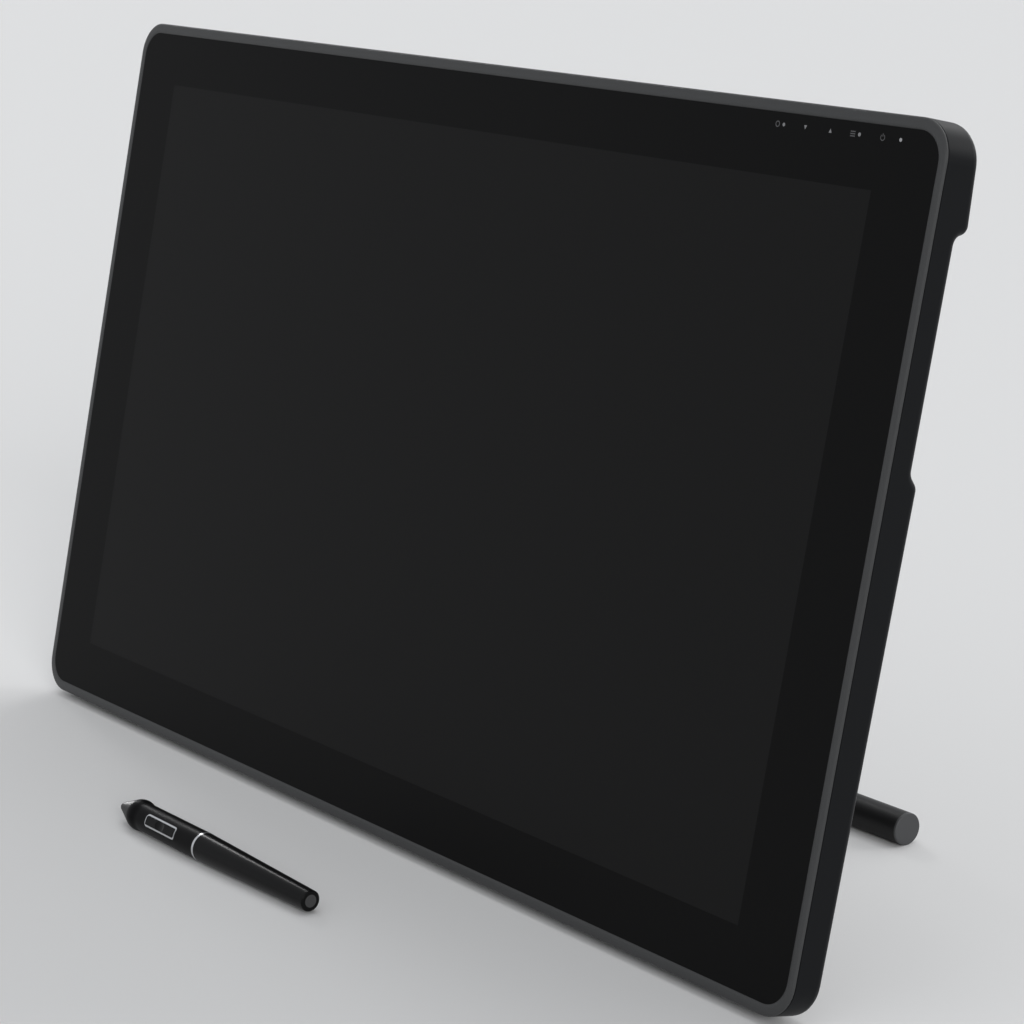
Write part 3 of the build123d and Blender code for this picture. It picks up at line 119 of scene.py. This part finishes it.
# Its lens, in pixels of the photograph, and its sensor in millimetres
PHOTO_WIDTH = 1024.0
FOCAL_PIXELS = 3151.06
AXIS_ROW = 603.62
SENSOR_WIDTH = 36.0

# Detail of the noise behind each kind of surface variation, and samples of eased edges
COLOR_DETAIL = 3.0
ROUGHNESS_DETAIL = 2.0
GRAIN_DETAIL = 1.0
EDGE_SAMPLES = 8


def on_screen(x, y, z):
    """World place of a point given in the screen's frame, in millimetres."""
    return SCREEN_ORIGIN + (Vector((x, 0, 0)) + SCREEN_UP * y + SCREEN_OUT * z) * MM


# Materials


class Shader:
    """A procedural node material round one Principled shader."""

    def __init__(self, name, color, roughness, metallic=0.0, specular=0.5):
        self.material = bpy.data.materials.new(name)
        self.material.use_nodes = True
        self.material.diffuse_color = (*color, 1.0)
        self.tree = self.material.node_tree
        self.surface = self.tree.nodes["Principled BSDF"]
        self.surface.inputs["Base Color"].default_value = (*color, 1.0)
        self.surface.inputs["Roughness"].default_value = roughness
        self.surface.inputs["Metallic"].default_value = metallic
        self.surface.inputs["Specular IOR Level"].default_value = specular
        self.color = color
        self.place = self.node("ShaderNodeTexCoord").outputs["Object"]

    def node(self, kind, **settings):
        made = self.tree.nodes.new(kind)
        for key, value in settings.items():
            setattr(made, key, value)
        return made

    def link(self, output, socket):
        self.tree.links.new(output, socket)

    def feed(self, node, values):
        """Gives a node's inputs their values, each a constant or another node's output."""
        for socket, value in zip(node.inputs, values):
            if isinstance(value, bpy.types.NodeSocket):
                self.link(value, socket)
            else:
                socket.default_value = value

    def calculate(self, operation, *values):
        node = self.node("ShaderNodeMath", operation=operation)
        self.feed(node, values)
        return node.outputs["Value"]

    def calculate_vector(self, operation, *values, output="Vector"):
        node = self.node("ShaderNodeVectorMath", operation=operation)
        self.feed(node, values)
        return node.outputs[output]

    def noise(self, scale, detail):
        node = self.node("ShaderNodeTexNoise")
        node.inputs["Scale"].default_value = scale
        node.inputs["Detail"].default_value = detail
        self.link(self.place, node.inputs["Vector"])
        return node.outputs["Fac"]

    def mix_colors(self, factor, first, second):
        """Takes the colour from the first to the second as the factor goes from 0 to 1."""
        mix = self.node("ShaderNodeMix", data_type="RGBA")
        mix.inputs["A"].default_value = (*first, 1.0)
        mix.inputs["B"].default_value = (*second, 1.0)
        self.link(factor, mix.inputs["Factor"])
        self.link(mix.outputs["Result"], self.surface.inputs["Base Color"])
        return self

    def vary(self, scale, amount):
        """Lets the colour drift a little, as moulded or painted surfaces do."""
        darker = [channel * (1 - amount) for channel in self.color]
        lighter = [channel * (1 + amount) for channel in self.color]
        return self.mix_colors(self.noise(scale, COLOR_DETAIL), darker, lighter)

    def rough(self, scale, low, high):
        """Lets the roughness drift between two values."""
        drift = self.node("ShaderNodeMapRange")
        drift.inputs["To Min"].default_value = low
        drift.inputs["To Max"].default_value = high
        self.link(self.noise(scale, ROUGHNESS_DETAIL), drift.inputs["Value"])
        self.link(drift.outputs["Result"], self.surface.inputs["Roughness"])
        return self

    def grain(self, scale, depth, edge=0.0):
        """Surface grain of a depth, and edges eased by a small radius, both in metres."""
        bump = self.node("ShaderNodeBump")
        bump.inputs["Distance"].default_value = depth
        self.link(self.noise(scale, GRAIN_DETAIL), bump.inputs["Height"])
        if edge:
            bevel = self.node("ShaderNodeBevel", samples=EDGE_SAMPLES)
            bevel.inputs["Radius"].default_value = edge
            self.link(bevel.outputs["Normal"], bump.inputs["Normal"])
        self.link(bump.outputs["Normal"], self.surface.inputs["Normal"])
        return self

    def end_disc(self, direction, middle, radius, color):
        """Another colour on a disc in the middle of the face that looks along a direction."""
        normal = self.node("ShaderNodeTexCoord").outputs["Normal"]
        facing = self.calculate_vector("DOT_PRODUCT", normal, direction, output="Value")
        offset = self.calculate_vector("SUBTRACT", self.place, middle)
        across = self.calculate_vector("CROSS_PRODUCT", offset, direction)
        distance = self.calculate_vector("LENGTH", across, output="Value")
        on_face = self.calculate("GREATER_THAN", facing, END_FACE_COSINE)
        near = self.calculate("LESS_THAN", distance, radius)
        return self.mix_colors(self.calculate("MULTIPLY", on_face, near), self.color, color)

    def within(self, value, middle, half_span):
        """1 where a value is nearer to the middle than half a span, and 0 elsewhere."""
        distance = self.calculate("ABSOLUTE", self.calculate("SUBTRACT", value, middle))
        return self.calculate("LESS_THAN", distance, half_span)

    def picture_area(self, border, picture):
        """One colour inside the screen's picture area, and another on the border round it."""
        split = self.node("ShaderNodeSeparateXYZ")
        self.link(self.place, split.inputs["Vector"])
        upward = self.calculate_vector("DOT_PRODUCT", self.place, SCREEN_UP, output="Value")
        in_width = self.within(split.outputs["X"], 0.0, ACTIVE_WIDTH / 2 * MM)
        in_height = self.within(upward, SCREEN_UP.dot(SCREEN_ORIGIN), ACTIVE_HEIGHT / 2 * MM)
        in_picture = self.calculate("MULTIPLY", in_width, in_height)
        return self.mix_colors(in_picture, border, picture)

    def dress(self, *names):
        """Gives this material to CAD nodes."""
        for name in names:
            mesh = NODES[name].data
            if mesh.materials:
                for i in range(len(mesh.materials)):
                    mesh.materials[i] = self.material
            else:
                mesh.materials.append(self.material)


# Anti-glare glass: black printed border, slightly lighter picture area behind it
glass = Shader("cover_glass", color=(0.006, 0.006, 0.0063), roughness=0.4, specular=0.04)
glass.picture_area(border=(0.0056, 0.0056, 0.0057), picture=(0.0112, 0.0112, 0.0113))
glass.grain(scale=9000, depth=0.000002)
glass.dress("front_glass")

# Case of the screen
rim = Shader("frame_plastic", color=(0.044, 0.045, 0.046), roughness=0.45, specular=0.3)
rim.vary(scale=40, amount=0.05).grain(scale=5200, depth=0.000012, edge=0.0028)
rim.dress("front_frame")
cover = Shader("cover_plastic", color=(0.0050, 0.0055, 0.0064), roughness=0.42, specular=0.09)
cover.vary(scale=30, amount=0.08).grain(scale=2600, depth=0.00002, edge=0.0004)
cover.dress("rear_cover")

# Stand and feet
paint = Shader("stand_paint", color=(0.0075, 0.0077, 0.008), roughness=0.4, specular=0.3)
paint.vary(scale=90, amount=0.1).grain(scale=3200, depth=0.000025, edge=0.0004)
paint.dress("stand_plate", "release_lever", "stand_arm_left", "stand_arm_right", "foot_tube")
rubber = Shader("foot_rubber", color=(0.0088, 0.0088, 0.0090), roughness=0.42, specular=0.16)
rubber.vary(scale=60, amount=0.15).grain(scale=2200, depth=0.00003, edge=0.0003)
rubber.dress("rubber_feet", "foot_sleeves")
cap = Shader("cap_plastic", color=(0.042, 0.043, 0.045), roughness=0.5)
cap.vary(scale=80, amount=0.06).grain(scale=4200, depth=0.00001, edge=0.0003)
cap.dress("foot_end_caps")
pin = Shader("pin_steel", color=(0.40, 0.40, 0.41), roughness=0.28, metallic=1.0)
pin.vary(scale=200, amount=0.06).rough(scale=300, low=0.2, high=0.36)
pin.dress("hinge_pin", "lever_pin", "spacer_rod")
bush = Shader("bush_plastic", color=(0.70, 0.68, 0.62), roughness=0.45)
bush.vary(scale=60, amount=0.05)
bush.dress("hinge_bushes")
spring = Shader("spring_steel", color=(0.30, 0.30, 0.31), roughness=0.3, metallic=1.0)
spring.vary(scale=400, amount=0.1)
spring.dress("wrap_springs", "lever_spring")

# Fasteners
screw = Shader("screw_steel", color=(0.035, 0.035, 0.037), roughness=0.36, metallic=0.8)
screw.vary(scale=400, amount=0.15).rough(scale=500, low=0.28, high=0.45)
screw.dress("case_screws", "stand_screws", "hinge_nut")
brass = Shader("insert_brass", color=(0.60, 0.42, 0.16), roughness=0.35, metallic=1.0)
brass.vary(scale=200, amount=0.08)
brass.dress("thread_inserts")

# The pen
grip = Shader("pen_grip_rubber", color=(0.0030, 0.0030, 0.0032), roughness=0.36, specular=0.06)
grip.vary(scale=150, amount=0.1).grain(scale=6000, depth=0.000012, edge=0.0001)
grip.dress("pen_grip")
barrel = Shader("pen_plastic", color=(0.0033, 0.0033, 0.0035), roughness=0.24, specular=0.11)
barrel.vary(scale=150, amount=0.08).grain(scale=7000, depth=0.000008, edge=0.0001)
barrel.dress("pen_rocker", "pen_barrel")
pen_end = Shader("pen_end", color=(0.0033, 0.0033, 0.0035), roughness=0.26, specular=0.11)
pen_end.end_disc(PEN_ALONG, PEN_END_MIDDLE, PEN_DISC_RADIUS * MM, PEN_DISC_COLOR)
pen_end.dress("pen_end_cap")
bright = Shader("pen_bright", color=(0.58, 0.585, 0.60), roughness=0.3, metallic=1.0)
bright.vary(scale=500, amount=0.05).rough(scale=600, low=0.24, high=0.36)
bright.dress("pen_bezel", "pen_ring")
nib = Shader("nib_plastic", color=(0.02, 0.02, 0.02), roughness=0.4)
nib.vary(scale=400, amount=0.1)
nib.dress("pen_nib")
ferrite = Shader("ferrite", color=(0.05, 0.05, 0.05), roughness=0.55, metallic=0.4)
ferrite.vary(scale=400, amount=0.15)
ferrite.dress("pen_ferrite")
copper = Shader("coil_copper", color=(0.62, 0.26, 0.10), roughness=0.3, metallic=1.0)
copper.vary(scale=900, amount=0.2)
copper.dress("pen_coil")

# The panel and the tape and sheets round it
tape = Shader("adhesive_tape", color=(0.012, 0.012, 0.012), roughness=0.7)
tape.vary(scale=80, amount=0.1)
tape.dress("glass_tape")
steel = Shader("sheet_steel", color=(0.50, 0.50, 0.50), roughness=0.38, metallic=1.0)
steel.vary(scale=30, amount=0.08).rough(scale=50, low=0.3, high=0.45)
steel.dress("panel_bezel")
cell = Shader("cell_glass", color=(0.012, 0.012, 0.013), roughness=0.15)
cell.vary(scale=10, amount=0.05)
cell.dress("lcd_cell")
film = Shader("white_film", color=(0.78, 0.78, 0.77), roughness=0.4)
film.vary(scale=20, amount=0.03)
film.dress("diffuser_films", "reflector_sheet")
clear = Shader("clear_plastic", color=(0.8, 0.82, 0.84), roughness=0.12)
clear.vary(scale=20, amount=0.02)
clear.dress("light_guide", "status_light_pipe")
aluminium = Shader("sheet_aluminium", color=(0.66, 0.67, 0.68), roughness=0.42, metallic=1.0)
aluminium.vary(scale=20, amount=0.05).rough(scale=50, low=0.35, high=0.5)
aluminium.dress("panel_tray", "shield_plate")

# Boards, cables, sockets and the pen's pressure sensor
board = Shader("circuit_board", color=(0.012, 0.075, 0.035), roughness=0.35)
board.vary(scale=300, amount=0.35).grain(scale=1200, depth=0.00002)
board.dress("led_strip", "pen_sensor_board", "main_board", "touch_key_board", "pen_board")
cable = Shader("flat_cable", color=(0.50, 0.24, 0.05), roughness=0.35)
cable.vary(scale=120, amount=0.1)
cable.dress("flex_cables")
socket_metal = Shader("socket_metal", color=(0.52, 0.52, 0.53), roughness=0.3, metallic=1.0)
socket_metal.vary(scale=200, amount=0.08).rough(scale=300, low=0.22, high=0.4)
socket_metal.dress("video_socket", "usb_sockets")
inner = Shader("inner_plastic", color=(0.02, 0.02, 0.02), roughness=0.5)
inner.vary(scale=60, amount=0.1).grain(scale=3000, depth=0.00001)
inner.dress("power_socket", "pen_pressure_sensor")

# Print and status light on the glass, and painted shade that stands for the dark inside of each
# screw's cross recess
ink = Shader("symbol_ink", color=(0.085, 0.085, 0.088), roughness=0.5, specular=0.2)
ink.vary(scale=800, amount=0.04)
bright_ink = Shader("bright_symbol_ink", color=(0.22, 0.22, 0.225), roughness=0.5, specular=0.2)
bright_ink.vary(scale=800, amount=0.04)
status_light = Shader("status_light", color=(0.34, 0.34, 0.35), roughness=0.3)
status_light.vary(scale=800, amount=0.02)
# Painted shade: near black that stands for the shade inside the screws' cross recesses
drive_painted_shade = Shader("drive_shade_paint", color=(0.004, 0.004, 0.004), roughness=0.7, specular=0.1)
drive_painted_shade.vary(scale=800, amount=0.04)

# Touch symbols on the glass, and the case screws' drives as cross shapes of painted shade


def around(x, y, radius, angle):
    """The point at a radius and an angle, in radians, from another point."""
    return (x + radius * cos(angle), y + radius * sin(angle))


def ring(x, y, outer, inner, start=0, end=FULL_TURN):
    """An annular sector as quadrilaterals, angles in degrees."""
    angles = [radians(start + (end - start) * i / RING_STEPS) for i in range(RING_STEPS + 1)]
    quads = []
    for now, later in zip(angles, angles[1:]):
        corners = ((inner, now), (outer, now), (outer, later), (inner, later))
        quads.append([around(x, y, radius, angle) for radius, angle in corners])
    return quads


def disc(x, y, radius):
    """A round face."""
    return [[around(x, y, radius, 2 * pi * i / DISC_STEPS) for i in range(DISC_STEPS)]]


def bar(x, y, width, height):
    """An upright rectangle round a point."""
    left, right = x - width / 2, x + width / 2
    bottom, top = y - height / 2, y + height / 2
    return [[(left, bottom), (right, bottom), (right, top), (left, top)]]


def arrow(x, y, way):
    """A triangle that points up where way is 1, and down where it is -1."""
    half = ARROW_SIZE / 2
    return [[(x - half, y - half * way), (x + half, y - half * way), (x, y + half * way)][::way]]


def lay(name, shapes, shader, height, front=True):
    """Flat shapes at a height over the glass, or below it with their faces to the back."""
    vertices, faces = [], []
    for shape in shapes:
        first = len(vertices)
        vertices += [tuple(on_screen(x, y, height)) for x, y in shape]
        face = list(range(first, len(vertices)))
        faces.append(face if front else face[::-1])
    mesh = bpy.data.meshes.new(name)
    mesh.from_pydata(vertices, [], faces)
    mesh.materials.append(shader.material)
    mesh.validate()
    mesh.update()
    piece = bpy.data.objects.new(name, mesh)
    bpy.context.scene.collection.objects.link(piece)
    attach(piece, "display")


symbols = ring(SOURCE_X, KEY_ROW_Y, RING_RADIUS, SOURCE_HOLE)
symbols += ring(POWER_X, KEY_ROW_Y, RING_RADIUS, POWER_HOLE, POWER_START, POWER_END)
symbols += bar(POWER_X, KEY_ROW_Y + POWER_STROKE_RISE, POWER_STROKE_WIDTH, POWER_STROKE_HEIGHT)
for step in (1, 0, -1):
    symbols += bar(MENU_X, KEY_ROW_Y + step * MENU_LINE_PITCH, MENU_LINE_WIDTH, MENU_LINE_HEIGHT)
marks = disc(SOURCE_DOT_X, KEY_ROW_Y, SOURCE_DOT)
marks += arrow(DOWN_X, KEY_ROW_Y, -1)
marks += arrow(UP_X, KEY_ROW_Y, 1)
marks += disc(MENU_DOT_X, KEY_ROW_Y, MENU_DOT)
dot = disc(STATUS_X, KEY_ROW_Y, STATUS_DOT)
lay("touch_symbols", symbols, ink, INK_HEIGHT)
lay("touch_marks", marks, bright_ink, INK_HEIGHT)
lay("status_light_dot", dot, status_light, INK_HEIGHT)

# Each case screw's drive is a flat cross of painted shade, laid on its head and facing the back
painted_shade_crosses = []
for place_x, place_y in SCREW_PLACES:
    for side in (-1, 1):
        painted_shade_crosses += bar(side * place_x, place_y, DRIVE_LENGTH, DRIVE_WIDTH)
        painted_shade_crosses += bar(side * place_x, place_y, DRIVE_WIDTH, DRIVE_LENGTH)
drive_height = -SCREW_HEAD_DEPTH - INK_HEIGHT
lay("painted_drive_shade", painted_shade_crosses, drive_painted_shade, drive_height, front=False)

# Floor

FLOOR_REACH = 14.0
FLOOR_CORNERS = ((-1, -1), (1, -1), (1, 1), (-1, 1))
floor_paint = Shader("floor", color=(0.78, 0.78, 0.78), roughness=0.85, specular=0.1)
floor_mesh = bpy.data.meshes.new("floor")
floor_points = [(x * FLOOR_REACH, y * FLOOR_REACH, 0) for x, y in FLOOR_CORNERS]
floor_mesh.from_pydata(floor_points, [], [(0, 1, 2, 3)])
floor_mesh.materials.append(floor_paint.material)
floor = bpy.data.objects.new("floor", floor_mesh)
bpy.context.scene.collection.objects.link(floor)

# World: lights the object at one level, and shows behind it at the floor's paleness

WORLD_COLOR = (0.95, 0.97, 1.0, 1.0)
WORLD_STRENGTH = 0.45
BACKGROUND_STRENGTH = 0.72

world = bpy.data.worlds.new("studio")
bpy.context.scene.world = world
world.use_nodes = True
sky = world.node_tree
rays = sky.nodes.new("ShaderNodeLightPath")
seen = rays.outputs["Is Camera Ray"]
for kind in ("Is Glossy Ray", "Is Transmission Ray"):
    either = sky.nodes.new("ShaderNodeMath")
    either.operation = "MAXIMUM"
    sky.links.new(seen, either.inputs[0])
    sky.links.new(rays.outputs[kind], either.inputs[1])
    seen = either.outputs["Value"]
level = sky.nodes.new("ShaderNodeMapRange")
level.inputs["To Min"].default_value = WORLD_STRENGTH
level.inputs["To Max"].default_value = BACKGROUND_STRENGTH
sky.links.new(seen, level.inputs["Value"])
sky.links.new(level.outputs["Result"], sky.nodes["Background"].inputs["Strength"])
sky.nodes["Background"].inputs["Color"].default_value = WORLD_COLOR

# Lamps


def soft_lamp(name, direction, strength, spread):
    """A far lamp that shines from a direction, as wide as an angle in degrees."""
    lamp_data = bpy.data.lights.new(name, "SUN")
    lamp_data.energy = strength
    lamp_data.angle = radians(spread)
    lamp = bpy.data.objects.new(name, lamp_data)
    lamp.location = direction
    lamp.rotation_euler = (-Vector(direction)).to_track_quat("-Z", "Y").to_euler()
    bpy.context.scene.collection.objects.link(lamp)


soft_lamp("key", direction=(2.3, -1.0, 0.9), strength=1.4, spread=25)
soft_lamp("top", direction=(-0.2, 0.3, 2.2), strength=0.45, spread=50)
soft_lamp("left", direction=(-0.81, 0.25, 0.526), strength=0.22, spread=8)
soft_lamp("low", direction=(-0.96, 0.26, 0.08), strength=0.35, spread=10)
soft_lamp("back", direction=(0.9, 1.7, 0.8), strength=0.5, spread=25)
soft_lamp("rear", direction=(-0.4, 1.8, 0.9), strength=0.6, spread=40)

# Camera: it looks straight down until it is turned up, and a quarter turn makes it level

camera_data = bpy.data.cameras.new("camera")
camera_data.sensor_width = SENSOR_WIDTH
camera_data.sensor_fit = "HORIZONTAL"
camera_data.lens = FOCAL_PIXELS * SENSOR_WIDTH / PHOTO_WIDTH
camera_data.shift_y = (AXIS_ROW - PHOTO_WIDTH / 2) / PHOTO_WIDTH
camera_data.clip_end = CAMERA_REACH
camera = bpy.data.objects.new("camera", camera_data)
camera.location = CAMERA_PLACE
camera.rotation_euler = (radians(QUARTER_TURN - CAMERA_PITCH), 0, radians(CAMERA_HEADING))
bpy.context.scene.collection.objects.link(camera)
bpy.context.scene.camera = camera
bpy.context.scene.view_settings.view_transform = "Standard"
